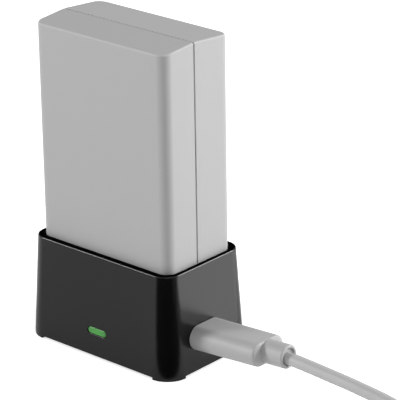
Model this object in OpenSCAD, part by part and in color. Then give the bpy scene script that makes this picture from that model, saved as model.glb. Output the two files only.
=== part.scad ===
// Charging dock for a flat two-cell flash battery pack.
// The pack stands in the dock's well, and a USB lead is plugged into the right side.
// Millimetres, +Z up, origin on the table under the middle of the dock.
// The status window is in the front wall (-Y) and the socket in the right wall (+X).

/* [Battery pack] */
// Width of the pack
pack_w = 40; // [34:0.5:46]
// Depth of the pack from front to back
pack_d = 22; // [19:0.5:26]
// Height of the pack from its foot to the ridge of its top
pack_h = 66; // [50:1:80]
// Radius of the pack's four upright edges
pack_corner_r = 2.6; // [1.5:0.1:4]
// Fall of the top to each side of the seam, in degrees
roof_angle = 4.7; // [0:0.1:8]
// Radius of the rounding along the top and bottom edges
pack_edge_r = 0.7; // [0.3:0.1:1.2]
// Distance of the seam in front of the pack's middle
seam_forward = 1.1; // [0:0.1:2.5]
// Width of the seam groove
seam_w = 0.4; // [0.2:0.05:0.8]
// Depth of the seam groove
seam_depth = 0.3; // [0.1:0.05:0.6]

/* [Terminals] */
// Distance between neighbouring terminals
terminal_pitch = 4.5; // [4:0.1:5]
// How far the row of terminals lies behind the pack's middle
terminal_back = 3; // [2:0.1:4]
// Depth of each terminal slot in the pack's foot
slot_depth = 4; // [3.6:0.1:6]
// Length of each terminal slot
slot_l = 5.6; // [5.2:0.1:6.5]
// Width of each terminal slot
slot_w = 1.6; // [1.4:0.1:2]
// Thickness of the charger's contact blades
blade_t = 0.5; // [0.4:0.05:0.6]
// Width of the charger's contact blades
blade_w = 4; // [3:0.1:4.8]
// How far the blades stand above the floor of the well
blade_rise = 3; // [2:0.1:3.2]
// Thickness of the pack's spring terminals
clip_t = 0.3; // [0.2:0.05:0.35]

/* [Dock] */
// Height of the rim above the table
dock_h = 25.3; // [22:0.1:32]
// Gap between the pack and the walls of the well
well_gap = 0.25; // [0.15:0.05:0.5]
// Thickness of the rim at the left and right
rim_side_t = 1.25; // [1:0.05:3]
// Thickness of the rim at the front and back
rim_front_t = 1.75; // [1.2:0.05:3]
// How far each wall leans in from its foot to the rim
lean_in = 1.6; // [1:0.1:2.5]
// Radius of the dock's corners at the foot
corner_r = 5.5; // [5:0.1:7]
// Rounding of the rim's outer edge
rim_round = 0.4; // [0.2:0.05:0.6]
// Lead-in bevel at the mouth of the well
lead_in = 0.3; // [0.1:0.05:0.5]
// Thickness of the outer walls below the well
wall_t = 1.6; // [1.2:0.1:2]
// Thickness of the floor of the well
floor_t = 1.4; // [1:0.1:2]
// Height of the corner feet
foot_h = 0.5; // [0.3:0.1:1]

/* [Base] */
// Thickness of the base plate
plate_t = 1.6; // [1.2:0.1:2.2]
// How far the base plate is set up inside the walls
plate_inset = 0.2; // [0.1:0.05:0.5]
// Gap around the base plate
plate_gap = 0.15; // [0.05:0.05:0.4]
// Diameter of the base screws' thread
screw_d = 2.2; // [1.8:0.1:2.4]
// Length of the base screws under the head
screw_l = 6; // [4:0.5:6.5]
// Diameter of the base screws' heads
screw_head_d = 3.8; // [3.2:0.1:4]
// Height of the base screws' heads
screw_head_h = 1.3; // [1:0.1:1.5]
// Diameter of the screw bosses
boss_d = 4.6; // [4:0.1:4.8]

/* [Status window] */
// Width of the window
window_w = 5.8; // [4:0.1:8]
// Height of the window
window_h = 1.7; // [1.4:0.1:2.4]
// Height of the window's middle above the table
window_z = 6.6; // [6.4:0.1:7]
// Height of the lamp on the board behind it
lamp_h = 1.4; // [1:0.1:1.6]
// How far the lens sits back from the wall's face
lens_recess = 0.12; // [0:0.02:0.4]

/* [Circuit board] */
// Thickness of both boards
board_t = 1; // [0.8:0.1:1.2]
// Gap between the main board and the walls
board_gap = 1; // [0.6:0.1:1.5]
// Diameter of the board screws' thread
board_screw_d = 1.6; // [1.4:0.1:1.8]
// Length of the board screws under the head
board_screw_l = 4.4; // [3:0.1:5]
// Height of the board screws' heads
board_head_h = 1.1; // [0.8:0.1:1.4]
// How far the board screws stand inside the base screws
board_screw_in = 6.1; // [5.5:0.1:8]
// Side of the power inductor
inductor_w = 6; // [4:0.5:6.5]
// Height of the power inductor
inductor_h = 3; // [2:0.1:4]
// Side of the charge controller
chip_w = 4; // [3:0.5:4.5]

/* [Socket and plug] */
// Height of the socket's middle above the table, at the wall's face
socket_z = 8.6; // [8.4:0.1:10]
// Clearance between the socket's shell and the screw boss in front of it
socket_to_boss = 0.53; // [0.1:0.01:2]
// Depth of the socket's metal shell
socket_depth = 6.5; // [6.3:0.1:6.8]
// How far the socket's mouth sits back from the wall's face
socket_recess = 0.4; // [0.2:0.05:0.6]
// Width of the plug's moulded grip
grip_w = 11; // [10:0.1:12.3]
// Thickness of the plug's moulded grip
grip_t = 5.9; // [5.4:0.1:6.5]
// Length of the plug's moulded grip
grip_l = 19; // [15:0.5:24]
// Diameter of the collar behind the grip
collar_d = 5.6; // [4.6:0.1:5.8]
// Length of the collar
collar_l = 6; // [4:0.5:9]
// Diameter of the cable
cable_d = 3; // [2.8:0.1:3.2]

/* [Charger end of the lead] */
// Width of the grip at the far end
far_grip_w = 15.6; // [13:0.1:16]
// Thickness of the grip at the far end
far_grip_t = 7.8; // [7:0.1:8.4]
// Length of the grip at the far end
far_grip_l = 16.5; // [15:0.5:20]

/* [Hidden] */
$fn = 48;
eps = 0.01;
cut = 1;                       // how far a cutter runs past the face it opens
standard_usb_w = 8.34;         // width of the mouth of a type C socket
standard_usb_t = 2.56;         // height of that mouth
standard_plug_w = 8.25;        // width of the plug's metal shell
standard_plug_t = 2.4;         // height of the plug's metal shell
socket_metal = 0.3;            // sheet thickness of the socket's shell
plug_metal = 0.25;             // sheet thickness of the plug's shell
tongue_w = 6.7;                // the contact tongue inside the socket
tongue_t = 0.7;
tongue_set_back = 1.2;         // tongue tip behind the socket's mouth
fit = 0.1;                     // clearance between fixed pieces that pass through each other
terminals = 4;

// The dock's outer form, worked out from the pack that stands in it
top_w = pack_w + 2 * (well_gap + rim_side_t);
top_d = pack_d + 2 * (well_gap + rim_front_t);
foot_w = top_w + 2 * lean_in;
foot_d = top_d + 2 * lean_in;
wall_rise = dock_h - foot_h;
lean = lean_in / wall_rise;    // sideways fall for each millimetre of height
draft = atan(lean);
corner_x = foot_w / 2 - corner_r;
corner_y = foot_d / 2 - corner_r;

// Heights inside the dock
socket_out_w = standard_usb_w + 2 * socket_metal;
socket_out_t = standard_usb_t + 2 * socket_metal;
socket_forward = corner_y - boss_d / 2 - socket_to_boss - socket_out_w / 2;
head_room = 0.42;              // between the socket's shell and the well's floor
ceiling_z = socket_z + socket_out_t / 2 + head_room;
floor_z = ceiling_z + floor_t;
plate_z = foot_h + plate_inset;
plate_top_z = plate_z + plate_t;
cup_z = plate_top_z + 1.3;     // top of the base plate's screw cups
seat_z = cup_z - 1.2;          // where the base screws' heads bear
cup_d = 6.4;
board_top_z = window_z - lamp_h / 2;
board_z = board_top_z - board_t;

function side_x(z) = foot_w / 2 - (z - foot_h) * lean;
function front_y(z) = -(foot_d / 2 - (z - foot_h) * lean);
// The rear face of the leaning port board at a height
function port_rear_x(z) =
    side_x(socket_z) - port_back * cos(draft) + (socket_z - z - port_back * sin(draft)) * tan(draft);
function terminal_x(k) = (k - (terminals + 1) / 2) * terminal_pitch;
function arc(cx, cy, r, from, to, steps = 4) =
    [for (k = [0:steps]) let (a = from + (to - from) * k / steps) [cx + r * cos(a), cy + r * sin(a)]];

// The main board, with its parts placed from its middle
board_x0 = -(side_x(board_top_z) - wall_t - board_gap - 1.1);
port_back = socket_recess + socket_depth + board_t;
board_x1 = port_rear_x(board_top_z) - 0.02;
board_y = -front_y(board_top_z) - wall_t - board_gap;
front_screw_in = 0.6;          // how far the front board screw lies behind the front base screws
rear_screw_in = 0.1;           // how far the rear one lies in front of the rear base screws
board_screws_at = [[-corner_x + board_screw_in, -corner_y + front_screw_in],
                   [corner_x - board_screw_in, corner_y - rear_screw_in]];
board_boss_d = 4;
inductor_to_edge = 1.4;        // between the inductor and the board's left edge
capacitor_in = 2.3;            // middle of the rear capacitors, from the board's rear edge
capacitor_to_port = 6.3152;    // middle of the filter capacitor, from the board's edge at the port board
chip_at = [-4, -5.8];
inductor_at = [board_x0 + inductor_to_edge + inductor_w / 2, 1.5];
transistor_at = [3, -5.6];
capacitors_at = [[inductor_at[0], -4.6], [board_x1 - capacitor_to_port, -5],
                 [-6, board_y - capacitor_in], [0, board_y - capacitor_in]];
resistors_at = [[4, -board_y + 2], [7, -board_y + 2], [-5.5, -board_y + 1.8], [-8, -4.5]];
block_w = terminals * terminal_pitch + 1;
block_d = 8;

// Route of the cable, chosen by hand: out of the plug, down to the table, to the coil, which the far plug lies on
run_points = [
    [47.03, -1.8, 9.72], [48, -1.8, 9.78], [49.7, -1.8, 9.76], [54.4, -1.8, 9.55], [59.2, -1.8, 9.26],
    [64, -1.8, 8.96], [69, -1.8, 8.53], [74, -1.8, 8.02], [77, -1.8, 7.5], [80, -1.8, 6.75],
    [83, -1.67, 5.85], [86, -1.26, 4.85], [89, -0.58, 3.8], [91.5, 0.22, 2.95], [94, 1.25, 2.2],
    [96.8, 2.69, 1.7]];
coil_at = [118.3, -6.4];
coil_in_r = 10.45;             // the wound coil, inside and outside
coil_out_r = 22.05;
coil_h = 9.25;                 // three layers of turns
tail_points = [
    [107.91, -0.4, 10.91], [109.81, 2.09, 11.77], [112.3, 3.99, 12.5], [115.19, 5.19, 13],
    [116.9, 5.56, 13.18], [117.8, 5.6, 13.2], [118.3, 5.6, 13.2]];

// A block with rounded corners whose sides follow a profile of [inset, height] points
module moulded(w, d, r, profile) {
    cx = w / 2 - r;
    cy = d / 2 - r;
    low = profile[0][1];
    high = profile[len(profile) - 1][1];
    for (q = [0:3])
        mirror([q % 2, 0, 0]) mirror([0, floor(q / 2), 0])
            translate([cx, cy, 0]) rotate_extrude(angle = 90)
                polygon(concat([[0, low]], [for (p = profile) [r - p[0], p[1]]], [[0, high]]));
    if (cy > eps)
        rotate([90, 0, 0]) translate([0, 0, -cy]) linear_extrude(2 * cy)
            polygon(concat([for (p = profile) [w / 2 - p[0], p[1]]],
                           [for (k = [len(profile) - 1:-1:0]) [-(w / 2 - profile[k][0]), profile[k][1]]]));
    if (cx > eps)
        rotate([90, 0, 90]) translate([0, 0, -cx]) linear_extrude(2 * cx)
            polygon(concat([for (p = profile) [d / 2 - p[0], p[1]]],
                           [for (k = [len(profile) - 1:-1:0]) [-(d / 2 - profile[k][0]), profile[k][1]]]));
}

module slab(w, d, r, low, high) {
    moulded(w, d, r, [[0, low], [0, high]]);
}

// A pill along Y, w wide and t thick, from x = from to x = to
module pill(w, t, from, to) {
    for (s = [-1, 1])
        translate([from, s * (w - t) / 2, 0]) rotate([0, 90, 0]) cylinder(d = t, h = to - from);
    translate([from, -(w - t) / 2, -t / 2]) cube([to - from, w - t, t]);
}

// Places children square to the right wall, with +X pointing out of it
module on_side_wall() {
    translate([side_x(socket_z), -socket_forward, socket_z]) rotate([0, -draft, 0]) children();
}

// Places children square to the front wall, with -Y pointing out of it
module on_front_wall() {
    translate([0, front_y(window_z), window_z]) rotate([-draft, 0, 0]) children();
}

module at_corners() {
    for (sx = [-1, 1], sy = [-1, 1]) translate([sx * corner_x, sy * corner_y, 0]) children();
}

// Profile of the outer wall, set in by a wall's thickness, from one height to another
function wall_profile(inset, low, high) =
    [[inset + (low - foot_h) * lean, low], [inset + (high - foot_h) * lean, high]];

module housing() {
    inner_r = pack_corner_r + well_gap;
    rib_t = 1;
    color("#1d1d1f") difference() {
        union() {
            difference() {
                moulded(foot_w, foot_d, corner_r, concat(
                    [[0, foot_h]],
                    [for (p = arc(rim_round, dock_h - rim_round, rim_round, 180 - draft, 90))
                        [lean_in + p[0] - rim_round * lean, p[1]]]));
                moulded(foot_w - 2 * wall_t, foot_d - 2 * wall_t, corner_r - wall_t,
                        [[(-cut) * lean, foot_h - cut], [(ceiling_z - foot_h) * lean, ceiling_z]]);
            }
            at_corners() {
                translate([0, 0, cup_z]) cylinder(d = boss_d, h = ceiling_z - cup_z + eps);
            }
            // Ribs that tie the screw bosses to the end walls
            for (sx = [-1, 1], sy = [-1, 1])
                translate([sx > 0 ? corner_x : -side_x(ceiling_z) + wall_t / 2,
                           sy * corner_y - rib_t / 2, cup_z + 1])
                    cube([side_x(ceiling_z) - wall_t / 2 - corner_x, rib_t, ceiling_z - cup_z - 1 + eps]);
            for (p = board_screws_at)
                translate([p[0], p[1], board_top_z])
                    cylinder(d = board_boss_d, h = ceiling_z - board_top_z + eps);
            corner_feet();
        }
        moulded(pack_w + 2 * well_gap, pack_d + 2 * well_gap, inner_r,
                [[0, floor_z], [0, dock_h - 2 * lead_in], [-lead_in, dock_h], [-lead_in, dock_h + cut]]);
        translate([0, terminal_back, 0])
            slab(block_w + 2 * fit, block_d + 2 * fit, 0.8 + fit, ceiling_z - cut, floor_z + cut);
        at_corners() translate([0, 0, cup_z - eps]) cylinder(d = screw_d + fit / 2, h = screw_l + 0.4);
        for (p = board_screws_at)
            translate([p[0], p[1], board_top_z - eps])
                cylinder(d = board_screw_d + fit / 2, h = board_screw_l - board_t + 0.3);
        on_front_wall() rotate([0, 0, 90]) pill(window_w, window_h, -cut, wall_t + cut);
        on_side_wall()
            pill(socket_out_w + 2 * fit, socket_out_t + 2 * fit, -wall_t - 1.5, cut);
    }
}

// Low feet that follow the wall round each corner
module corner_feet() {
    for (q = [0:3])
        mirror([q % 2, 0, 0]) mirror([0, floor(q / 2), 0])
            translate([corner_x, corner_y, 0]) rotate_extrude(angle = 90)
                translate([corner_r - wall_t + 0.05, 0]) square([wall_t - 0.1, foot_h + 0.3]);
}

module base_plate() {
    inset = wall_t + plate_gap;
    color("#242426") difference() {
        union() {
            moulded(foot_w, foot_d, corner_r, wall_profile(inset, plate_z, plate_top_z));
            at_corners() translate([0, 0, plate_z]) cylinder(d = cup_d, h = cup_z - plate_z);
        }
        at_corners() {
            translate([0, 0, plate_z - cut]) cylinder(d = screw_head_d + 0.6, h = seat_z - plate_z + cut);
            cylinder(d = screw_d + 2 * fit, h = cup_z + cut);
        }
    }
}

// A pan-headed screw that points up from z = 0, with a cross recess
module screw(d, l, head_d, head_h) {
    recess = 0.22 * head_d;
    difference() {
        union() {
            rotate_extrude() polygon(concat([[0, -head_h]],
                arc(head_d / 2 - head_h * 0.4, -head_h * 0.6, head_h * 0.4, -90, 0), [[head_d / 2, 0], [0, 0]]));
            cylinder(d = d, h = l - d / 2);
            translate([0, 0, l - d / 2]) cylinder(d1 = d, d2 = d / 3, h = d / 2);
        }
        for (a = [0, 90]) rotate([0, 0, a])
            translate([-recess, -0.25, -head_h - cut]) cube([2 * recess, 0.5, cut + head_h * 0.55]);
    }
}

module base_screws() {
    color("#8f9296") at_corners() translate([0, 0, seat_z]) screw(screw_d, screw_l, screw_head_d, screw_head_h);
}

module main_board() {
    notch = boss_d / 2 + 0.6;
    color("#1f5a34") difference() {
        union() {
            translate([board_x0, -corner_y + notch, board_z])
                cube([board_x1 - board_x0, 2 * (corner_y - notch), board_t]);
            translate([-corner_x + notch, -board_y, board_z])
                cube([board_x1 + corner_x - notch, 2 * board_y, board_t]);
        }
        for (k = [1:terminals])
            translate([terminal_x(k) - blade_t / 2 - fit, terminal_back - 0.6 - fit, board_z - cut])
                cube([blade_t + 2 * fit, 1.2 + 2 * fit, board_t + 2 * cut]);
        for (p = board_screws_at)
            translate([p[0], p[1], board_z - cut]) cylinder(d = board_screw_d + 2 * fit, h = board_t + 2 * cut);
    }
}

module board_screws() {
    color("#8f9296") for (p = board_screws_at) translate([p[0], p[1], board_z])
        screw(board_screw_d, board_screw_l, 1.9 * board_screw_d, board_head_h);
}

module contact_block() {
    top = floor_z - fit;
    color("#26262a") difference() {
        translate([0, terminal_back, 0])
            moulded(block_w, block_d, 0.8, [[0, board_top_z], [0, top - 0.4], [0.4, top]]);
        for (k = [1:terminals])
            translate([terminal_x(k) - blade_t / 2 - fit / 2, terminal_back - blade_w / 2 - fit / 2, board_top_z - cut])
                cube([blade_t + fit, blade_w + fit, top - board_top_z + 2 * cut]);
    }
}

// A flat blade with a bevelled tip and a narrow tail through the board
module contact_blade(k) {
    tip = floor_z + blade_rise;
    tail = board_z - 0.8;
    half = blade_w / 2;
    color("#d9b25a") translate([terminal_x(k) - blade_t / 2, terminal_back, 0])
        rotate([90, 0, 90]) linear_extrude(blade_t)
            polygon([[-0.6, tail], [0.6, tail], [0.6, board_top_z], [half, board_top_z], [half, tip - 0.8],
                     [half - 0.6, tip], [-half + 0.6, tip], [-half, tip - 0.8], [-half, board_top_z],
                     [-0.6, board_top_z]]);
}

module charge_controller() {
    h = 0.85;
    color("#2b2b2e") difference() {
        translate([chip_at[0], chip_at[1], board_top_z]) slab(chip_w, chip_w, 0.2, 0, h);
        translate([chip_at[0] - chip_w * 0.35, chip_at[1] + chip_w * 0.35, board_top_z + h - 0.08])
            cylinder(d = 0.5, h = cut);
    }
}

module power_inductor() {
    color("#3a3a3d") difference() {
        translate([inductor_at[0], inductor_at[1], board_top_z])
            moulded(inductor_w, inductor_w, 0.9, [[0, 0], [0, inductor_h - 0.3], [0.3, inductor_h]]);
        translate([inductor_at[0], inductor_at[1], board_top_z + inductor_h - 0.2])
            cylinder(d = inductor_w * 0.55, h = cut);
    }
}

// Body with three legs
module power_transistor() {
    color("#2b2b2e") translate([transistor_at[0], transistor_at[1], board_top_z]) {
        translate([-1.45, -0.65, 0.1]) cube([2.9, 1.3, 0.9]);
        for (leg = [[-0.95, -1.2], [0.95, -1.2], [0, 0.6]])
            translate([leg[0] - 0.2, leg[1], 0]) cube([0.4, 0.6, 0.35]);
    }
}

// A ceramic chip with a metal cap at each end
module chip_part(at, l, w, h, cap) {
    translate([at[0] - l / 2, at[1] - w / 2, board_top_z]) {
        translate([cap, 0.05, 0.05]) cube([l - 2 * cap, w - 0.1, h - 0.1]);
        for (x = [0, l - cap]) translate([x, 0, 0]) cube([cap, w, h]);
    }
}

module capacitor(k) {
    color("#b59a72") chip_part(capacitors_at[k - 1], 3.2, 1.6, 1.6, 0.5);
}

module resistor(k) {
    color("#333335") chip_part(resistors_at[k - 1], 1.6, 0.8, 0.5, 0.3);
}

// Side-firing lamp at the front edge of the board
module status_lamp() {
    color("#f2f2ea") difference() {
        translate([-1.5, -board_y, board_top_z]) cube([3, 1.2, lamp_h]);
        translate([-1.1, -board_y - cut, board_top_z + 0.3]) cube([2.2, cut + 0.25, lamp_h - 0.6]);
    }
}

// Clear lens that fills the window, with a flange glued behind the wall
module light_pipe() {
    color("#6fd06a") on_front_wall() rotate([0, 0, 90]) {
        pill(window_w - 2 * fit, window_h - 2 * fit, lens_recess, wall_t + fit);
        pill(window_w + 2, window_h + 1.5, wall_t, wall_t + 0.8);
    }
}

// Small board that stands behind the socket, square to the right wall
port_w = 11;
port_low = -4.3;
port_high = 1.85;

module port_board() {
    color("#1f5a34") on_side_wall() difference() {
        translate([-port_back, -port_w / 2, port_low]) cube([board_t, port_w, port_high - port_low]);
        for (s = [-1, 1])
            translate([-port_back - cut, s * (socket_out_w / 2 - 0.15) - 0.35, -0.9])
                cube([board_t + 2 * cut, 0.7, 1.8]);
    }
}

// Solder fillets between the two boards
module port_solder() {
    leg = 0.7;
    low = board_top_z;
    color("#c4c6c8") for (y = [-3.5:1.75:3.5])
        translate([0, y - socket_forward + 0.4, 0]) rotate([90, 0, 0]) linear_extrude(0.8)
            polygon([[board_x1 - leg, low], [port_rear_x(low), low], [port_rear_x(low + leg), low + leg]]);
}

module socket_shell() {
    mouth = -socket_recess;
    color("#b9bcc0") on_side_wall() {
        difference() {
            pill(socket_out_w, socket_out_t, mouth - socket_depth, mouth);
            pill(standard_usb_w, standard_usb_t, mouth - socket_depth - cut, mouth + cut);
        }
        for (s = [-1, 1])
            translate([mouth - socket_depth - board_t - 0.3, s * (socket_out_w / 2 - socket_metal / 2) - socket_metal / 2, -0.8])
                cube([board_t + 0.3 + eps, socket_metal, 1.6]);
    }
}

module socket_tongue() {
    mouth = -socket_recess;
    back = mouth - socket_depth;
    color("#1b1b1d") on_side_wall() {
        pill(standard_usb_w, standard_usb_t, back, back + 0.3);
        translate([back, -tongue_w / 2, -tongue_t / 2]) cube([socket_depth - tongue_set_back, tongue_w, tongue_t]);
    }
}

// One half of the pack's top: its ridge end is at the seam, and it falls away to one side
module roof_half(side) {
    reach = pack_d;
    half = pack_w / 2;
    top = pack_h;
    translate([0, -seam_forward, floor_z]) intersection() {
        translate([0, 0, top]) rotate([-side * roof_angle, 0, 0]) translate([0, 0, -top])
            rotate([90, 0, 0]) translate([0, 0, side > 0 ? -reach : -eps]) linear_extrude(reach + eps)
                polygon(concat([[half, -3], [half, top - pack_edge_r]],
                               arc(half - pack_edge_r, top - pack_edge_r, pack_edge_r, 0, 90),
                               arc(-half + pack_edge_r, top - pack_edge_r, pack_edge_r, 90, 180), [[-half, -3]]));
        translate([-pack_w, side > 0 ? 0 : -reach, -eps]) cube([2 * pack_w, reach, 2 * top]);
    }
}

// The pack from the side: rounded at its foot and along the front and back of its top
module pack_side_profile() {
    front = -pack_d / 2;
    back = pack_d / 2;
    front_top = pack_h - (pack_d / 2 - seam_forward) * tan(roof_angle);
    back_top = pack_h - (pack_d / 2 + seam_forward) * tan(roof_angle);
    r = pack_edge_r;
    translate([0, 0, floor_z]) rotate([90, 0, 90]) translate([0, 0, -pack_w / 2]) linear_extrude(pack_w)
        polygon(concat(
            arc(front + r, r, r, 180, 270), arc(back - r, r, r, 270, 360),
            arc(back - r, back_top - r, r, 0, 90 - roof_angle),
            [[-seam_forward, pack_h]],
            arc(front + r, front_top - r, r, 90 + roof_angle, 180)));
}

module battery_pack() {
    color("#b4b4b4") difference() {
        intersection() {
            slab(pack_w, pack_d, pack_corner_r, floor_z, floor_z + pack_h + 1);
            pack_side_profile();
            union() {
                roof_half(1);
                roof_half(-1);
            }
        }
        // The groove where the two half shells meet
        difference() {
            translate([-pack_w, -seam_forward - seam_w / 2, floor_z - cut]) cube([2 * pack_w, seam_w, pack_h + 3 * cut]);
            translate([-pack_w / 2 + seam_depth, -pack_d, floor_z + seam_depth])
                cube([pack_w - 2 * seam_depth, 2 * pack_d, pack_h - 2 * seam_depth]);
        }
        for (k = [1:terminals])
            translate([terminal_x(k) - slot_w / 2, terminal_back - slot_l / 2, floor_z - cut])
                cube([slot_w, slot_l, slot_depth + cut]);
    }
}

// A folded strip whose two arms hold the blade between them
module pack_terminal(k) {
    inner = blade_t + fit;
    top = floor_z + slot_depth;
    color("#d9b25a") translate([terminal_x(k), terminal_back, 0]) difference() {
        translate([-inner / 2 - clip_t, -slot_l / 2 + 0.3, floor_z + 0.4])
            cube([inner + 2 * clip_t, slot_l - 0.6, slot_depth - 0.4]);
        translate([-inner / 2, -slot_l, floor_z]) cube([inner, 2 * slot_l, slot_depth - clip_t]);
    }
}

// The plug at the dock, square to the wall it is pushed against
grip_gap = 0.05;
grip_taper = 0.1;              // how far the grip's sides lean in towards the cable
grip_round = 0.6;
shell_seat = 3;                // how far the plug's shell goes into the grip
cable_seat = 0.6;              // depth of the mouth in the collar that the cable leaves
cable_room = 0.6;              // room round the cable in that mouth
plug_tip = -5.9;

module plug_grip() {
    color("#b2b2b2") on_side_wall() difference() {
        translate([grip_gap, 0, 0]) rotate([0, 90, 0])
            moulded(grip_t, grip_w, grip_t / 2 - eps, concat([[0, 0]],
                [for (p = arc(grip_l - grip_round, grip_round, grip_round, 270, 360)) [grip_taper + p[1], p[0]]]));
        pill(standard_plug_w, standard_plug_t, -cut, grip_gap + shell_seat);
    }
}

module plug_collar() {
    from = grip_gap + grip_l;
    r = collar_d / 2;
    color("#b2b2b2") on_side_wall() translate([from, 0, 0]) rotate([0, 90, 0]) rotate_extrude()
        polygon(concat([[0, 0], [r, 0]], arc(r - 0.4, collar_l - 0.4, 0.4, 0, 90),
                       [[cable_d / 2 + cable_room, collar_l], [cable_d / 2 + cable_room, collar_l - cable_seat],
                        [0, collar_l - cable_seat]]));
}

module plug_shell() {
    color("#c9cbce") on_side_wall() difference() {
        pill(standard_plug_w, standard_plug_t, plug_tip, grip_gap + shell_seat);
        pill(standard_plug_w - 2 * plug_metal, standard_plug_t - 2 * plug_metal, plug_tip - cut, grip_gap + shell_seat + cut);
    }
}

module plug_insert() {
    w = standard_plug_w - 2 * plug_metal;
    t = standard_plug_t - 2 * plug_metal;
    tongue_tip = -socket_recess - tongue_set_back;
    color("#1b1b1d") on_side_wall() difference() {
        pill(w, t, plug_tip + 0.15, grip_gap + shell_seat);
        translate([plug_tip - cut, -tongue_w / 2 - fit, -tongue_t / 2 - fit / 2])
            cube([tongue_tip - plug_tip + cut + fit, tongue_w + 2 * fit, tongue_t + fit]);
    }
}

// Points between two route points on a smooth curve through all of them
function curve_at(p, k, t) =
    let (a = p[max(k - 1, 0)], b = p[k], c = p[k + 1], d = p[min(k + 2, len(p) - 1)])
    0.5 * (2 * b + (c - a) * t + (2 * a - 5 * b + 4 * c - d) * t * t + (3 * b - 3 * c + d - a) * t * t * t);
function smooth(p, steps) =
    concat([for (k = [0:len(p) - 2], s = [0:steps - 1]) curve_at(p, k, s / steps)], [p[len(p) - 1]]);
function unit(v) = v / norm(v);

// A round tube along a list of points
module tube(points, d, sides = 8) {
    n = len(points);
    function heading(k) = unit(points[min(k + 1, n - 1)] - points[max(k - 1, 0)]);
    function across(k) = unit(cross(heading(k), [0, 0, 1]));
    function upward(k) = cross(across(k), heading(k));
    rings = [for (k = [0:n - 1], s = [0:sides - 1])
        points[k] + d / 2 * (cos(360 * s / sides) * across(k) + sin(360 * s / sides) * upward(k))];
    quads = [for (k = [0:n - 2], s = [0:sides - 1])
        let (a = k * sides + s, b = k * sides + (s + 1) % sides) [a, b, b + sides, a + sides]];
    polyhedron(rings, concat([[for (s = [sides - 1:-1:0]) s]], quads,
                             [[for (s = [0:sides - 1]) (n - 1) * sides + s]]), convexity = 6);
}

module cable_run() {
    color("#b2b2b2") tube(smooth(run_points, 2), cable_d);
}

module cable_coil() {
    w = coil_out_r - coil_in_r;
    r = cable_d / 2;
    color("#b2b2b2") translate([coil_at[0], coil_at[1], 0]) rotate_extrude($fn = 64)
        translate([coil_in_r, 0]) polygon(concat(
            arc(r, r, r, 180, 270, 3), arc(w - r, r, r, 270, 360, 3),
            arc(w - r, coil_h - r, r, 0, 90, 3), arc(r, coil_h - r, r, 90, 180, 3)));
}

module cable_tail() {
    color("#b2b2b2") tube(smooth(tail_points, 2), cable_d);
}

// The plug at the other end of the lead, lying on the coil and pointing along +X
module at_far_plug() {
    last = tail_points[len(tail_points) - 1];
    translate([last[0] + 3 * eps, last[1], last[2]]) children();
}

far_collar_l = 5;
far_shell_w = 12;
far_shell_t = 4.5;
far_shell_l = 12;
far_metal = 0.3;

module far_collar() {
    color("#b2b2b2") at_far_plug() rotate([0, 90, 0])
        cylinder(d1 = cable_d + 1, d2 = cable_d + 2.6, h = far_collar_l);
}

module far_grip() {
    color("#b2b2b2") at_far_plug() translate([far_collar_l, 0, 0]) difference() {
        rotate([0, 90, 0]) moulded(far_grip_t, far_grip_w, 2.2,
            concat(arc(0.6, 0.6, 0.6, 270, 180), [[0, far_grip_l]]));
        translate([far_grip_l - 3, -far_shell_w / 2, -far_shell_t / 2]) cube([3 + cut, far_shell_w, far_shell_t]);
    }
}

module far_shell() {
    from = far_collar_l + far_grip_l - 3;
    color("#c9cbce") at_far_plug() difference() {
        translate([from, -far_shell_w / 2, -far_shell_t / 2]) cube([far_shell_l + 3, far_shell_w, far_shell_t]);
        translate([from - cut, -far_shell_w / 2 + far_metal, -far_shell_t / 2 + far_metal])
            cube([far_shell_l + 3 + 2 * cut, far_shell_w - 2 * far_metal, far_shell_t - 2 * far_metal]);
        for (s = [-1, 1])
            translate([from + 3 + 4.2, s * 2.85 - 1.1, -far_shell_t]) cube([2.2, 2.2, 2 * far_shell_t]);
    }
}

module far_insert() {
    from = far_collar_l + far_grip_l - 3;
    color("#e8e8e6") at_far_plug()
        translate([from, -far_shell_w / 2 + far_metal, -far_shell_t / 2 + far_metal])
            cube([far_shell_l + 2.6, far_shell_w - 2 * far_metal, 1.9]);
}

housing();
base_plate();
base_screws();
main_board();
board_screws();
contact_block();
for (k = [1:terminals]) {
    contact_blade(k);
    pack_terminal(k);
    capacitor(k);
    resistor(k);
}
charge_controller();
power_inductor();
power_transistor();
status_lamp();
light_pipe();
port_board();
port_solder();
socket_shell();
socket_tongue();
battery_pack();
plug_grip();
plug_collar();
plug_shell();
plug_insert();
cable_run();
cable_coil();
cable_tail();
far_collar();
far_grip();
far_shell();
far_insert();
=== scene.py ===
import math
from functools import cache

import bmesh
import bpy
from mathutils import Matrix, Vector


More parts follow.
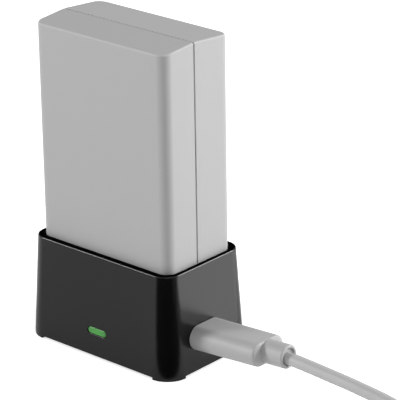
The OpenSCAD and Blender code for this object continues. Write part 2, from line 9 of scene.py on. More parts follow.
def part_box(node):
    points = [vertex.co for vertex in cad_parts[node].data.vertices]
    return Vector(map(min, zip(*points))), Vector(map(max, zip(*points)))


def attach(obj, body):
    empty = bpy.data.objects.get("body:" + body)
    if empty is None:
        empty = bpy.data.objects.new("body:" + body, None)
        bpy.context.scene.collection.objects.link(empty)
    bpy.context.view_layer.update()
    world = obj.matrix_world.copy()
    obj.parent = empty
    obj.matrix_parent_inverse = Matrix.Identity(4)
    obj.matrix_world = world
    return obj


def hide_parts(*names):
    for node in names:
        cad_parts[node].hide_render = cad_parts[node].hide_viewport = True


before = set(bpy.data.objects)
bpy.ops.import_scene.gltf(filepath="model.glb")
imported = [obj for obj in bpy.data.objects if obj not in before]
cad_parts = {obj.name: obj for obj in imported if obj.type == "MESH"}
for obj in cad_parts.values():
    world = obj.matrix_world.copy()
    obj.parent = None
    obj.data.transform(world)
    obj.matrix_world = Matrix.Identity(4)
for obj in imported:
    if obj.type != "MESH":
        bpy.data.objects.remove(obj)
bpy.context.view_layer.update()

bl_info = {
    "name": "Battery Dock Studio",
    "version": (1, 0, 0),
    "blender": (4, 5, 0),
    "location": "View3D > Sidebar > Dock",
    "description": "Dresses the packed charging dock, its battery pack and its lead, and lights them",
    "category": "Object",
}

MM = 0.001
BODY = "root"
BLACK = (0, 0, 0, 1)
WHITE = (1, 1, 1, 1)

# Sizes of the dock and the pack, read from the frame's own solids
HOUSING_LOW, HOUSING_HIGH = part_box("housing")
PACK_LOW, PACK_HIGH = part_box("battery_pack")
DOCK_H = HOUSING_HIGH.z
FOOT_W = HOUSING_HIGH.x - HOUSING_LOW.x
FOOT_D = HOUSING_HIGH.y - HOUSING_LOW.y
PACK_W = PACK_HIGH.x - PACK_LOW.x
PACK_D = PACK_HIGH.y - PACK_LOW.y

# The dock's walls lean in from the top of its feet
FOOT_H = 0.5 * MM
LEAN = 1.6 / 24.8
DRAFT = math.atan(LEAN)
WALL = 1.6 * MM
WELL_GAP = 0.25 * MM
WELL_FLOOR = 1.4 * MM

# The socket in the right wall and the window in the front wall
SOCKET_Y, SOCKET_Z = -1.8 * MM, 8.6 * MM
MOUTH_W, MOUTH_T = 9.14 * MM, 3.36 * MM
WINDOW_Z = 6.6 * MM
WINDOW_W, WINDOW_T = 5.8 * MM, 1.7 * MM
LENS_GAP = 0.09 * MM

# The seam round the pack, and how steeply its top falls away from the seam
SEAM_Y = -1.1 * MM
ROOF_FALL = math.tan(math.radians(4.7))

# The plug at the dock, measured from the dock's wall outwards
GRIP_W, GRIP_T, GRIP_L = 11.0 * MM, 5.9 * MM, 19.0 * MM
COLLAR_R, COLLAR_L = 2.8 * MM, 6.0 * MM

# The plug at the far end, measured from the end of the cable outwards
FAR_GRIP_W, FAR_GRIP_T, FAR_GRIP_CORNER = 15.6 * MM, 7.8 * MM, 2.2 * MM
FAR_COLLAR_L = 5.0 * MM

# The cable's way from the plug down to the table, in mm, and the middle of its coil
RUN_POINTS = [
    (47.03, -1.8, 9.72), (48, -1.8, 9.78), (49.7, -1.8, 9.76), (54.4, -1.8, 9.55), (59.2, -1.8, 9.26),
    (64, -1.8, 8.96), (69, -1.8, 8.53), (74, -1.8, 8.02), (77, -1.8, 7.5), (80, -1.8, 6.75),
    (83, -1.67, 5.85), (86, -1.26, 4.85), (89, -0.58, 3.8), (91.5, 0.22, 2.95), (94, 1.25, 2.2),
    (96.2, 2.35, 1.75), (99, 4.07, 1.5), (101.5, 5.95, 1.5)]
COIL_AT = (118.3, -6.4)
FAR_PLUG_AT = (118.3, 5.6, 13.2)

# The camera of the photograph: angles in degrees, focal length in pixels of a picture 400 wide
CAMERA_AZIMUTH, CAMERA_ELEVATION, CAMERA_ROLL = 41.8, 22.0, -0.92
CAMERA_DISTANCE = 584.4 * MM
CAMERA_SIDEWAYS, CAMERA_HEIGHT = 14.97 * MM, 34.9 * MM
FOCAL_PIXELS, PICTURE_PIXELS, SENSOR_WIDTH = 2528, 400, 36


def side_x(z):
    """Where the right wall stands at a height."""
    return FOOT_W / 2 - (z - FOOT_H) * LEAN


def front_y(z):
    """Where the front wall stands at a height."""
    return -(FOOT_D / 2 - (z - FOOT_H) * LEAN)


def side_wall():
    """Places a thing square to the right wall at the socket, with its +X pointing out of it."""
    return Matrix.Translation((side_x(SOCKET_Z), SOCKET_Y, SOCKET_Z)) @ Matrix.Rotation(-DRAFT, 4, "Y")


def front_wall():
    """Places a thing square to the front wall at the window, with its -Y pointing out of it."""
    return Matrix.Translation((0, front_y(WINDOW_Z), WINDOW_Z)) @ Matrix.Rotation(-DRAFT, 4, "X")


def pack_roof(y):
    """Height of the pack's top, which falls from the seam to the front and to the back."""
    return PACK_HIGH.z - abs(y - SEAM_Y) * ROOF_FALL


def arc(cx, cy, r, start, end, steps=6):
    """Points on an arc, angles in degrees."""
    angles = [math.radians(start + (end - start) * k / steps) for k in range(steps + 1)]
    return [(cx + r * math.cos(a), cy + r * math.sin(a)) for a in angles]


def round_rect(w, d, r, inset=0.0, steps=12):
    """Outline of a rounded rectangle whose corner centres stay put while its sides move in by inset."""
    cx, cy = w / 2 - r, d / 2 - r
    corners = ((cx, cy, 0), (-cx, cy, 90), (-cx, -cy, 180), (cx, -cy, 270))
    return [p for x, y, start in corners for p in arc(x, y, r - inset, start, start + 90, steps)]


def pill(w, t, steps=12):
    """Outline of a pill, w long and t thick."""
    c, r = (w - t) / 2, t / 2
    return arc(c, 0, r, -90, 90, steps) + arc(-c, 0, r, 90, 270, steps)


def along_x(outline, x):
    """A flat outline of (y, z) points, stood up at x."""
    return [Vector((x, y, z)) for y, z in outline]


def along_y(outline, y):
    """A flat outline of (x, z) points, stood up at y."""
    return [Vector((x, y, z)) for x, z in outline]


def along_z(outline, z):
    """A flat outline of (x, y) points, laid at a height."""
    return [Vector((x, y, z)) for x, y in outline]


def turned(profile, sides):
    """Rings of a piece turned about the X axis, from (x, radius) points."""
    turns = [2 * math.pi * k / sides for k in range(sides)]
    return [[Vector((x, r * math.cos(a), r * math.sin(a))) for a in turns] for x, r in profile]


def ring_stack(bm, rings):
    """Skins a list of rings of as many points each into one closed shell."""
    made = [[bm.verts.new(p) for p in ring] for ring in rings]
    for low, high in zip(made, made[1:]):
        for k in range(len(low)):
            after = (k + 1) % len(low)
            bm.faces.new((low[k], low[after], high[after], high[k]))
    bm.faces.new(list(reversed(made[0])))
    bm.faces.new(made[-1])


def object_from(name, bm):
    """Puts a bmesh into a new object of the scene."""
    mesh = bpy.data.meshes.new(name)
    bm.to_mesh(mesh)
    bm.free()
    made = bpy.data.objects.new(name, mesh)
    bpy.context.scene.collection.objects.link(made)
    return made


def merge(whole, part):
    """Adds one bmesh to another."""
    mesh = bpy.data.meshes.new("part")
    part.to_mesh(mesh)
    part.free()
    whole.from_mesh(mesh)
    bpy.data.meshes.remove(mesh)


def shade(piece, sharp, even=True):
    """Shades a piece smooth and its flat faces even, up to edges that turn by more than sharp degrees."""
    piece.data.shade_smooth()
    piece.data.set_sharp_from_angle(angle=math.radians(sharp))
    if even:
        shading = piece.modifiers.new("even shading", "WEIGHTED_NORMAL")
        shading.keep_sharp = True
        shading.weight = 80


def finish_piece(name, bm, slot, replaced, sharp=40, even=True):
    """Turns a bmesh into a piece of the dock's body that stands for CAD nodes and has a slot's finish."""
    bmesh.ops.remove_doubles(bm, verts=bm.verts, dist=1e-7)
    bmesh.ops.recalc_face_normals(bm, faces=bm.faces)
    piece = object_from(name, bm)
    piece.data.materials.append(finish_of(slot))
    shade(piece, sharp, even)
    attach(piece, BODY)
    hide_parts(*replaced)
    return piece


def moulding(name, rings, place, slot, replaced, sharp=40):
    """A closed shell skinned over rings and set in its place."""
    bm = bmesh.new()
    ring_stack(bm, rings)
    bmesh.ops.transform(bm, matrix=place, verts=bm.verts)
    return finish_piece(name, bm, slot, (replaced,), sharp)


def cutter_from(name, rings, place):
    """A closed shape that carve() can cut with."""
    bm = bmesh.new()
    ring_stack(bm, rings)
    bmesh.ops.recalc_face_normals(bm, faces=bm.faces)
    tool = object_from(name, bm)
    tool.data.transform(place)
    return tool


def carve(piece, cutters, sharp=35):
    """Cuts closed shapes out of a piece, and puts the result into its mesh."""
    for cutter in cutters:
        cut = piece.modifiers.new("cut", "BOOLEAN")
        cut.operation = "DIFFERENCE"
        cut.object = cutter
        cut.solver = "EXACT"
    graph = bpy.context.evaluated_depsgraph_get()
    carved = bpy.data.meshes.new_from_object(piece.evaluated_get(graph), depsgraph=graph)
    piece.modifiers.clear()
    piece.data = carved
    for cutter in cutters:
        bpy.data.objects.remove(cutter)
    shade(piece, sharp)


class Socket:
    """An output in a node tree that can be used in sums, each of which adds a Math node."""

    def __init__(self, nodes, output):
        self.nodes = nodes
        self.output = output

    def maths(self, operation, *values):
        return self.nodes.node("ShaderNodeMath", {"operation": operation}, dict(enumerate(values)))

    def __add__(self, other):
        return self.maths("ADD", self, other)

    def __sub__(self, other):
        return self.maths("SUBTRACT", self, other)

    def __rsub__(self, other):
        return self.maths("SUBTRACT", other, self)

    def __mul__(self, other):
        return self.maths("MULTIPLY", self, other)

    def __pow__(self, other):
        return self.maths("POWER", self, other)

    def __rpow__(self, other):
        return self.maths("POWER", other, self)

    def __abs__(self):
        return self.maths("ABSOLUTE", self)

    __radd__ = __add__
    __rmul__ = __mul__

    def clamped(self):
        """The value, kept from 0 to 1."""
        return self.nodes.node("ShaderNodeClamp", {}, {"Value": self})

    def above(self, edge, softness):
        """0 below the edge and 1 above it, with a soft step."""
        values = {"Value": self, "From Min": edge - softness, "From Max": edge + softness}
        return self.nodes.node("ShaderNodeMapRange", {"interpolation_type": "SMOOTHSTEP"}, values)


class Nodes:
    """The node tree of a material or of the world, with the shader that it starts with."""

    def __init__(self, owner, **fixed):
        owner.use_nodes = True
        self.owner = owner
        self.tree = owner.node_tree
        self.surface = next(n for n in self.tree.nodes if n.type.startswith("OUTPUT")).inputs["Surface"]
        self.shader = self.surface.links[0].from_node
        for socket, value in fixed.items():
            self.shader.inputs[socket.replace("_", " ")].default_value = value

    def node(self, kind, settings, values, *outputs):
        """Adds a node: its settings first, then its sockets' values or links, and returns its outputs."""
        made = self.tree.nodes.new(kind)
        for setting, value in settings.items():
            setattr(made, setting, value)
        for socket, value in values.items():
            if isinstance(value, Socket):
                self.tree.links.new(value.output, made.inputs[socket])
            else:
                made.inputs[socket].default_value = value
        sockets = [Socket(self, made.outputs[output]) for output in outputs or (0,)]
        return sockets if len(sockets) > 1 else sockets[0]

    def place(self):
        """The point on the surface."""
        return self.node("ShaderNodeNewGeometry", {}, {}, "Position")

    def parts(self, vector):
        """The X, Y and Z of a vector."""
        return self.node("ShaderNodeSeparateXYZ", {}, {0: vector}, 0, 1, 2)

    def facing_up(self):
        """How far the surface faces up, from 0 on a wall to 1 on a level top."""
        return self.parts(self.node("ShaderNodeNewGeometry", {}, {}, "Normal"))[2]

    def speckle(self, scale, detail=2.0, roughness=0.5, where=None):
        """Soft noise from 0 to 1, its scale in patches a metre."""
        return self.node("ShaderNodeTexNoise", {"noise_dimensions": "3D"}, {
            "Vector": where or self.place(), "Scale": scale, "Detail": detail, "Roughness": roughness})

    def blend(self, amount, first, second):
        """Mixes two colours, each a colour or a socket."""
        return self.node("ShaderNodeMix", {"data_type": "RGBA"}, {0: amount, 6: first, 7: second}, 2)

    def wear(self, **sockets):
        """Feeds what changes over the surface to the shader."""
        for socket, value in sockets.items():
            self.tree.links.new(value.output, self.shader.inputs[socket.replace("_", " ")])

    def bump(self, height, strength, depth):
        """Raises and sinks the surface a little."""
        values = {"Height": height, "Strength": strength, "Distance": depth}
        self.wear(Normal=self.node("ShaderNodeBump", {}, values))

    def mix_in(self, amount, other):
        """Shows another shader by an amount, which may change over the surface."""
        own = Socket(self, self.shader.outputs[0])
        mixed = self.node("ShaderNodeMixShader", {}, {0: amount, 1: own, 2: other})
        self.tree.links.new(mixed.output, self.surface)


def grey(level):
    """A linear colour from a grey as it looks on screen, 0 to 255."""
    return rgb(level, level, level)


def rgb(*levels):
    """A linear colour from the levels as they look on screen, 0 to 255."""
    shares = [level / 255 for level in levels]
    return (*[c / 12.92 if c <= 0.04045 else ((c + 0.055) / 1.055) ** 2.4 for c in shares], 1.0)


def tone(tint, times=1.0):
    """A colour of the panel, paler or darker by a factor."""
    return (*[c * times for c in tint], 1.0)


def two_toned(name, dark, light, patches, rough, spread, marks, patch_detail=2.0, mark_detail=2.0, **fixed):
    """A material of two close tones in small patches, with finer marks in its gloss."""
    f = Nodes(bpy.data.materials.new(name), **fixed)
    f.wear(Base_Color=f.blend(f.speckle(patches, patch_detail), dark, light))
    f.wear(Roughness=rough + spread * f.speckle(marks, mark_detail))
    return f


def dock_black():
    """Black moulded plastic with a soft gloss on the walls and a matte face on top of the rim."""
    tint = bpy.context.scene.dock_looks.dock_colour
    f = two_toned("dock black plastic", tone(tint), tone(tint, 1.25), patches=900.0, patch_detail=3.0,
                  rough=0.23, spread=0.05, marks=1500.0, IOR=1.46)
    f.bump(f.speckle(5200.0, 2.0, 0.6), 0.04, 0.01 * MM)
    matte = f.node("ShaderNodeBsdfDiffuse", {}, {"Color": tone(tint, 1.125)})
    f.mix_in(f.facing_up().above(0.9, 0.06), matte)
    return f


def base_black():
    """The base plate's plain dark plastic with a spark-eroded texture."""
    f = two_toned("base black plastic", grey(34), grey(42), patches=700.0,
                  rough=0.5, spread=0.15, marks=2500.0)
    f.bump(f.speckle(4200.0, 3.0, 0.7), 0.3, 0.04 * MM)
    return f


def pack_grey():
    """Smooth pale grey plastic of the pack's two half shells, with a painted highlight: paler on the rounded
    edges of the top.
    """
    tint = bpy.context.scene.dock_looks.pack_colour
    f = Nodes(bpy.data.materials.new("pack grey plastic"), IOR=1.46)
    upward = f.facing_up()
    # Painted highlight: where the rounded top edges face partly up, the base colour is mixed towards a paler
    # tone.
    rounding = upward.above(0.3, 0.2) * (1.0 - upward.above(0.93, 0.05))
    plain = f.blend(f.speckle(260.0, 3.0), tone(tint, 0.985), tone(tint))
    f.wear(Base_Color=f.blend(rounding, plain, tone(tint, 1.15)))
    f.wear(Roughness=0.58 + 0.08 * f.speckle(900.0))
    f.bump(f.speckle(4200.0, 2.0, 0.6), 0.06, 0.02 * MM)
    return f


def lead_grey():
    """Moulded grip of the plugs."""
    tint = bpy.context.scene.dock_looks.lead_colour
    f = two_toned("lead grey moulding", tone(tint, 0.97), tone(tint), patches=500.0, patch_detail=3.0,
                  rough=0.45, spread=0.1, marks=1200.0, IOR=1.46)
    f.bump(f.speckle(5200.0, 2.0, 0.6), 0.1, 0.02 * MM)
    return f


def cable_grey():
    """Soft jacket of the cable, a little paler than the grips."""
    tint = bpy.context.scene.dock_looks.lead_colour
    f = two_toned("cable grey jacket", tone(tint, 1.06), tone(tint, 1.15), patches=400.0, patch_detail=3.0,
                  rough=0.42, spread=0.12, marks=1600.0, IOR=1.46)
    f.bump(f.speckle(3800.0, 2.0, 0.6), 0.12, 0.03 * MM)
    return f


def window_green():
    """The window's lens, lit from behind by the lamp and brightest low in its middle."""
    f = Nodes(bpy.data.materials.new("lit green window"), Roughness=0.25, IOR=1.49, Emission_Strength=1.0)
    glow_reach, glow_bottom, glow_height = 3.4 * MM, 5.9 * MM, 1.7 * MM
    across, _, upward = f.parts(f.place())
    glow = 1.0 - (abs(across) * (1.0 / glow_reach)).clamped() ** 1.6
    low = 1.0 - ((upward - glow_bottom) * (1.0 / glow_height)).clamped()
    core = (glow * (0.35 + 0.65 * low)).clamped()
    f.wear(Base_Color=f.blend(core, rgb(58, 112, 58), rgb(66, 128, 62)))
    f.wear(Emission_Color=f.blend(core, rgb(30, 74, 32), rgb(42, 110, 36)))
    return f


def screw_steel():
    """Zinc-plated steel with fine turning marks."""
    return two_toned("screw steel", grey(150), grey(182), patches=2200.0,
                     rough=0.28, spread=0.2, marks=5000.0, mark_detail=4.0, Metallic=1.0)


def plug_steel():
    """Nickel-plated sheet of the plugs and the socket, streaked along its length."""
    f = Nodes(bpy.data.materials.new("plug steel"), Metallic=1.0)
    stretched = f.node("ShaderNodeVectorMath", {"operation": "MULTIPLY"}, {0: f.place(), 1: (0.06, 1, 1)})
    streaks = f.speckle(900.0, 4.0, 0.6, stretched)
    f.wear(Base_Color=f.blend(streaks, grey(186), grey(214)))
    f.wear(Roughness=0.2 + 0.16 * streaks)
    return f


def contact_gold():
    """Gold-plated contacts."""
    return two_toned("contact gold", rgb(212, 172, 96), rgb(232, 196, 122), patches=1800.0,
                     rough=0.2, spread=0.15, marks=3000.0, Metallic=1.0)


def solder():
    """Reflowed solder."""
    return two_toned("solder", grey(178), grey(206), patches=3000.0,
                     rough=0.3, spread=0.2, marks=4000.0, Metallic=1.0)


def board_green():
    """Green solder mask with the faint lines of its tracks."""
    f = Nodes(bpy.data.materials.new("board green mask"), IOR=1.5)
    lines = f.node("ShaderNodeTexWave", {"wave_type": "BANDS", "bands_direction": "DIAGONAL"},
                   {"Vector": f.place(), "Scale": 260.0, "Distortion": 6.0, "Detail": 1.0}, 1)
    tracks = lines.above(0.7, 0.05)
    f.wear(Base_Color=f.blend(tracks, rgb(24, 84, 48), rgb(34, 108, 62)))
    f.wear(Roughness=0.25 + 0.15 * f.speckle(900.0))
    f.bump(tracks, 0.2, 0.03 * MM)
    return f


def moulded_dark(name, level, rough):
    """A dark moulded part inside the dock, from its darkest grey on screen."""
    f = two_toned(name, grey(level), grey(level + 12), patches=1500.0,
                  rough=rough, spread=0.12, marks=2500.0)
    f.bump(f.speckle(5000.0), 0.12, 0.02 * MM)
    return f


def insulator_black():
    """Black plastic that carries the contacts."""
    return moulded_dark("insulator black", 34, 0.4)


def chip_black():
    """Moulded body of the chips and the resistors."""
    return moulded_dark("chip black", 38, 0.45)


def ferrite_grey():
    """Pressed ferrite of the inductor."""
    return moulded_dark("ferrite grey", 72, 0.55)


def ceramic_tan():
    """Fired ceramic of the capacitors."""
    return two_toned("ceramic tan", rgb(168, 134, 92), rgb(186, 152, 108), patches=2400.0,
                     rough=0.45, spread=0.15, marks=3000.0)


def lamp_white():
    """The lamp's white body."""
    return two_toned("lamp white", grey(226), grey(238), patches=2000.0,
                     rough=0.3, spread=0.1, marks=3000.0)


def insulator_white():
    """White tongue inside the far plug."""
    return two_toned("insulator white", grey(226), grey(236), patches=1500.0,
                     rough=0.35, spread=0.12, marks=2500.0)


MAKERS = {maker.__name__: maker for maker in (
    dock_black, base_black, pack_grey, lead_grey, cable_grey, window_green, screw_steel, plug_steel,
    contact_gold, solder, board_green, insulator_black, chip_black, ferrite_grey, ceramic_tan, lamp_white,
    insulator_white)}


@cache
def finish_of(slot):
    """The material of one of the record's slots, made the first time that it is asked for."""
    return MAKERS[slot]().owner


class DockLooks(bpy.types.PropertyGroup):
    dock_colour: bpy.props.FloatVectorProperty(
        name="Dock colour", description="Colour of the dock's moulded plastic",
        subtype="COLOR", size=3, min=0, max=1, default=grey(5)[:3])
    pack_colour: bpy.props.FloatVectorProperty(
        name="Pack colour", description="Colour of the battery pack",
        subtype="COLOR", size=3, min=0, max=1, default=grey(178)[:3])
    lead_colour: bpy.props.FloatVectorProperty(
        name="Lead colour", description="Colour of the plugs' grips and the cable",
        subtype="COLOR", size=3, min=0, max=1, default=grey(181)[:3])


class DockSizes(bpy.types.PropertyGroup):
    dock_corner: bpy.props.FloatProperty(
        name="Dock corner", description="Radius of the dock's corners at the foot",
        unit="LENGTH", default=5.5 * MM, min=3 * MM, max=8 * MM)
    rim_round: bpy.props.FloatProperty(
        name="Rim rounding", description="Rounding of the rim's outer edge",
        unit="LENGTH", default=0.36 * MM, min=0.1 * MM, max=0.8 * MM)
    pack_corner: bpy.props.FloatProperty(
        name="Pack corner", description="Radius of the pack's upright edges",
        unit="LENGTH", default=2.6 * MM, min=1 * MM, max=5 * MM)
    pack_edge: bpy.props.FloatProperty(
        name="Pack edge", description="Rounding along the pack's top and foot",
        unit="LENGTH", default=0.5 * MM, min=0.2 * MM, max=1.5 * MM)
    seam_width: bpy.props.FloatProperty(
        name="Seam width", description="Width of the groove between the pack's half shells",
        unit="LENGTH", default=0.4 * MM, min=0.1 * MM, max=0.8 * MM)
    cable_diameter: bpy.props.FloatProperty(
        name="Cable diameter", description="Diameter of the cable",
        unit="LENGTH", default=3 * MM, min=2.5 * MM, max=3.2 * MM)


class StudioLooks(bpy.types.PropertyGroup):
    key_power: bpy.props.FloatProperty(
        name="Key light", description="Power of the soft light at the front left",
        unit="POWER", default=10.2, min=0, max=50)
    side_power: bpy.props.FloatProperty(
        name="Side light", description="Power of the soft light at the right",
        unit="POWER", default=12.8, min=0, max=50)
    fill_power: bpy.props.FloatProperty(
        name="Fill light", description="Power of the weak light above the right front",
        unit="POWER", default=1.8, min=0, max=50)
    surround: bpy.props.FloatProperty(
        name="Surround", description="Level of the even light from all round",
        default=0.37, min=0, max=2)
    floor_level: bpy.props.FloatProperty(
        name="Floor level", description="Grey of the floor, 0 to 255", default=252, min=200, max=255)


class DOCK_OT_camera(bpy.types.Operator):
    """Sets the camera where the photograph was taken from"""
    bl_idname = "dock.camera"
    bl_label = "Camera"

    def execute(self, context):
        a, e, roll = (math.radians(angle) for angle in (CAMERA_AZIMUTH, CAMERA_ELEVATION, CAMERA_ROLL))
        right = Vector((math.cos(a), math.sin(a), 0))
        back = Vector((math.sin(a) * math.cos(e), -math.cos(a) * math.cos(e), math.sin(e)))
        up = back.cross(right)
        target = right * CAMERA_SIDEWAYS + Vector((0, 0, CAMERA_HEIGHT))
        rolled_right = right * math.cos(roll) + up * math.sin(roll)
        rolled_up = up * math.cos(roll) - right * math.sin(roll)
        data = bpy.data.cameras.new("camera")
        data.sensor_width = SENSOR_WIDTH
        data.lens = FOCAL_PIXELS * SENSOR_WIDTH / PICTURE_PIXELS
        data.clip_start = 0.01
        data.clip_end = 50
        camera = bpy.data.objects.new("camera", data)
        place = Matrix((rolled_right, rolled_up, back)).transposed().to_4x4()
        place.translation = target + back * CAMERA_DISTANCE
        camera.matrix_world = place
        context.scene.collection.objects.link(camera)
        context.scene.camera = camera
        return {"FINISHED"}


class DOCK_OT_plug(bpy.types.Operator):
    """Moulds the grip and the collar of the plug at the dock"""
    bl_idname = "dock.plug"
    bl_label = "Plug at the dock"

    def execute(self, context):
        gap, taper, edge = 0.05 * MM, 0.1 * MM, 0.6 * MM
        levels = [(gap, 0.12 * MM), (2 * gap, 0.04 * MM), (4 * gap, 0)]
        levels += [(x + gap, taper + inset) for inset, x in arc(edge, GRIP_L - edge, edge, 180, 90, 8)]
        rings = [along_x(pill(GRIP_W - 2 * inset, GRIP_T - 2 * inset, 16), x) for x, inset in levels]
        moulding("plug_grip_skin", rings, side_wall(), "lead_grey", "plug_grip")

        start, rounding = GRIP_L + gap, 0.4 * MM
        end = start + COLLAR_L
        profile = [(start, COLLAR_R)] + arc(end - rounding, COLLAR_R - rounding, rounding, 90, 0)
        profile += [(end, 2.25 * MM), (end - 0.1 * MM, 2.1 * MM), (end - 0.6 * MM, 2.1 * MM)]
        moulding("plug_collar_skin", turned(profile, 48), side_wall(), "lead_grey", "plug_collar")
        return {"FINISHED"}


class DOCK_OT_far_plug(bpy.types.Operator):
    """Moulds the grip and the strain relief of the plug at the far end of the lead"""
    bl_idname = "dock.far_plug"
    bl_label = "Plug at the far end"

    def execute(self, context):
        place = Matrix.Translation(Vector(FAR_PLUG_AT) * MM)
        edge, waist = 0.6 * MM, 0.25 * MM
        levels = [(x, edge - y) for x, y in arc(FAR_COLLAR_L + edge, 0, edge, 180, 90)]
        levels += [(7.0 * MM, 0), (7.5 * MM, waist), (12.5 * MM, waist), (13.0 * MM, 0), (21.3 * MM, 0),
                   (21.5 * MM, 0.2 * MM)]
        rings = []
        for x, inset in levels:
            corner = FAR_GRIP_CORNER - 0.9 * inset
            section = round_rect(FAR_GRIP_W - 2 * inset, FAR_GRIP_T - 2 * inset, corner, steps=8)
            rings.append(along_x(section, x))
        moulding("far_grip_skin", rings, place, "lead_grey", "far_grip")

        thin, thick, pitch = 2.0 * MM, 2.8 * MM, 1.4 * MM
        profile = [(0, 1.6 * MM), (0.15 * MM, thin)]
        for k in range(3):
            x = 0.6 * MM + pitch * k
            r = thin + (thick - thin) * x / FAR_COLLAR_L
            profile += [(x, r), (x + 0.15 * MM, r - 0.45 * MM), (x + 0.65 * MM, r - 0.4 * MM),
                        (x + 0.8 * MM, r + 0.1 * MM)]
        profile += [(FAR_COLLAR_L, thick)]
        moulding("far_collar_skin", turned(profile, 32), place, "lead_grey", "far_collar")
        return {"FINISHED"}


def ease(share):
    """Goes from 0 to 1 with a level start and end."""
    return share * share * (3 - 2 * share)


def coil_points(per_turn=48, outer=20.5, pitch=3.1, low=1.5):
    """The coil's turns, in mm, clockwise from above: in on the floor, out, in on top, and up to the plug."""
    lane, rise, last_lift, start_angle = 2.75, 0.25, 0.375, 135
    inner = outer - pitch * lane
    top = low + 2 * pitch
    turns = 3 * lane + 2 * rise
    points = []
    for k in range(round((turns + last_lift) * per_turn) + 1):
        t = k / per_turn
        if t <= lane:
            r, z = outer - pitch * t, low
        elif t <= lane + rise:
            r, z = inner, low + pitch * ease((t - lane) / rise)
        elif t <= 2 * lane + rise:
            r, z = inner + pitch * (t - lane - rise), low + pitch
        elif t <= 2 * (lane + rise):
            r, z = outer, low + pitch * (1 + ease((t - 2 * lane - rise) / rise))
        elif t <= turns:
            r, z = outer - pitch * (t - 2 * (lane + rise)), top
        else:
            r, z = inner, top + (FAR_PLUG_AT[2] - top) * ease((t - turns) / last_lift)
        a = math.radians(start_angle - 360 * t)
        points.append((COIL_AT[0] + r * math.cos(a), COIL_AT[1] + r * math.sin(a), z))
    return points


def smooth_path(points, step):
    """A smooth curve through all the points, sampled about every step."""
    p = [Vector(q) for q in points]
    out = []
    for k in range(len(p) - 1):
        a, b, c, d = p[max(k - 1, 0)], p[k], p[k + 1], p[min(k + 2, len(p) - 1)]
        pieces = max(1, round((c - b).length / step))
        for t in [s / pieces for s in range(pieces)]:
            out.append(0.5 * (2 * b + (c - a) * t + (2 * a - 5 * b + 4 * c - d) * t * t
                              + (3 * b - 3 * c + d - a) * t * t * t))
    return out + [p[-1]]


def tube_rings(path, diameter, sides=16):
    """Rings of a round tube along a path."""
    across = Vector((0, 1, 0))
    turns = [2 * math.pi * s / sides for s in range(sides)]
    rings = []
    for k, p in enumerate(path):
        heading = (path[min(k + 1, len(path) - 1)] - path[max(k - 1, 0)]).normalized()
        across = (across - heading * across.dot(heading)).normalized()
        upward = heading.cross(across)
        rings.append([p + diameter / 2 * (math.cos(a) * across + math.sin(a) * upward) for a in turns])
    return rings


class DOCK_OT_cable(bpy.types.Operator):
    """Lays the cable from the plug to the table, winds it into its coil and takes it to the far plug"""
    bl_idname = "dock.cable"
    bl_label = "Cable"

    def execute(self, context):
        diameter = context.scene.dock_sizes.cable_diameter
        turns = coil_points()
        step = 1.2
        route = smooth_path(RUN_POINTS + turns[:5:2], step)[:-1] + [Vector(p) for p in turns[4:]]
        path = [p * MM for p in route]
        length = sum((b - a).length for a, b in zip(path, path[1:]))
        bm = bmesh.new()
        ring_stack(bm, tube_rings(path, diameter))
        solids = ("cable_run", "cable_coil", "cable_tail")
        cable = finish_piece("cable", bm, "cable_grey", solids, 60, even=False)
        return {"FINISHED"}


class DOCK_OT_housing(bpy.types.Operator):
    """Moulds the dock's housing with its leaning walls, rounded rim, well, window and socket opening"""
    bl_idname = "dock.housing"
    bl_label = "Housing"

    def execute(self, context):
        sizes = context.scene.dock_sizes
        r, rim = sizes.dock_corner, sizes.rim_round
        lean_in = (DOCK_H - FOOT_H) * LEAN
        mouth_lead = 0.15 * MM

        def outside(inset, z):
            return along_z(round_rect(FOOT_W, FOOT_D, r, inset), z)

        def well(inset, z):
            corner = sizes.pack_corner + WELL_GAP
            return along_z(round_rect(PACK_W + 2 * WELL_GAP, PACK_D + 2 * WELL_GAP, corner, inset), z)

        # Up the inside of the walls, over the foot, up the outside, over the rim and down the well
        rings = [outside(WALL + (z - FOOT_H) * LEAN, z) for z in (PACK_LOW.z - WELL_FLOOR, FOOT_H)]
        rings += [outside(0.15 * MM, FOOT_H), outside(0.04 * MM, FOOT_H + 0.06 * MM),
                  outside(0.2 * MM * LEAN, FOOT_H + 0.2 * MM)]
        rings += [outside(lean_in + (inset - rim * LEAN), z)
                  for inset, z in arc(rim, DOCK_H - rim, rim, 180 - math.degrees(DRAFT), 90)]
        rings += [well(-mouth_lead - 0.1 * MM, DOCK_H), well(-mouth_lead, DOCK_H - 0.05 * MM),
                  well(0, DOCK_H - 2 * mouth_lead), well(0, PACK_LOW.z)]
        bm = bmesh.new()
        ring_stack(bm, rings)
        self.add_feet(bm, r)
        housing = finish_piece("dock_housing", bm, "dock_black", ("housing",), 35)

        # The window's opening has a small bevel at its mouth, given as (depth, flare) in mm
        window = [along_y(pill(WINDOW_W + 2 * flare * MM, WINDOW_T + 2 * flare * MM), depth * MM)
                  for depth, flare in ((-0.5, 0.62), (-0.02, 0.14), (0.14, 0.0), (3.0, 0.0))]
        mouth = [along_x(pill(MOUTH_W, MOUTH_T), x * MM) for x in (-3.2, 1.0)]
        carve(housing, [cutter_from("window cutter", window, front_wall()),
                        cutter_from("socket cutter", mouth, side_wall())])
        return {"FINISHED"}

    def add_feet(self, bm, r):
        """Adds four low feet that follow the wall round each corner."""
        clear, overlap = 0.05 * MM, 0.3 * MM
        quarter = arc(0, 0, r - clear, 0, 90, 12) + arc(0, 0, r - WALL + clear, 90, 0, 12)
        for sx, sy in ((1, 1), (1, -1), (-1, 1), (-1, -1)):
            outline = [(sx * (FOOT_W / 2 - r + x), sy * (FOOT_D / 2 - r + y)) for x, y in quarter]
            ring_stack(bm, [along_z(outline, z) for z in (0, FOOT_H + overlap)])


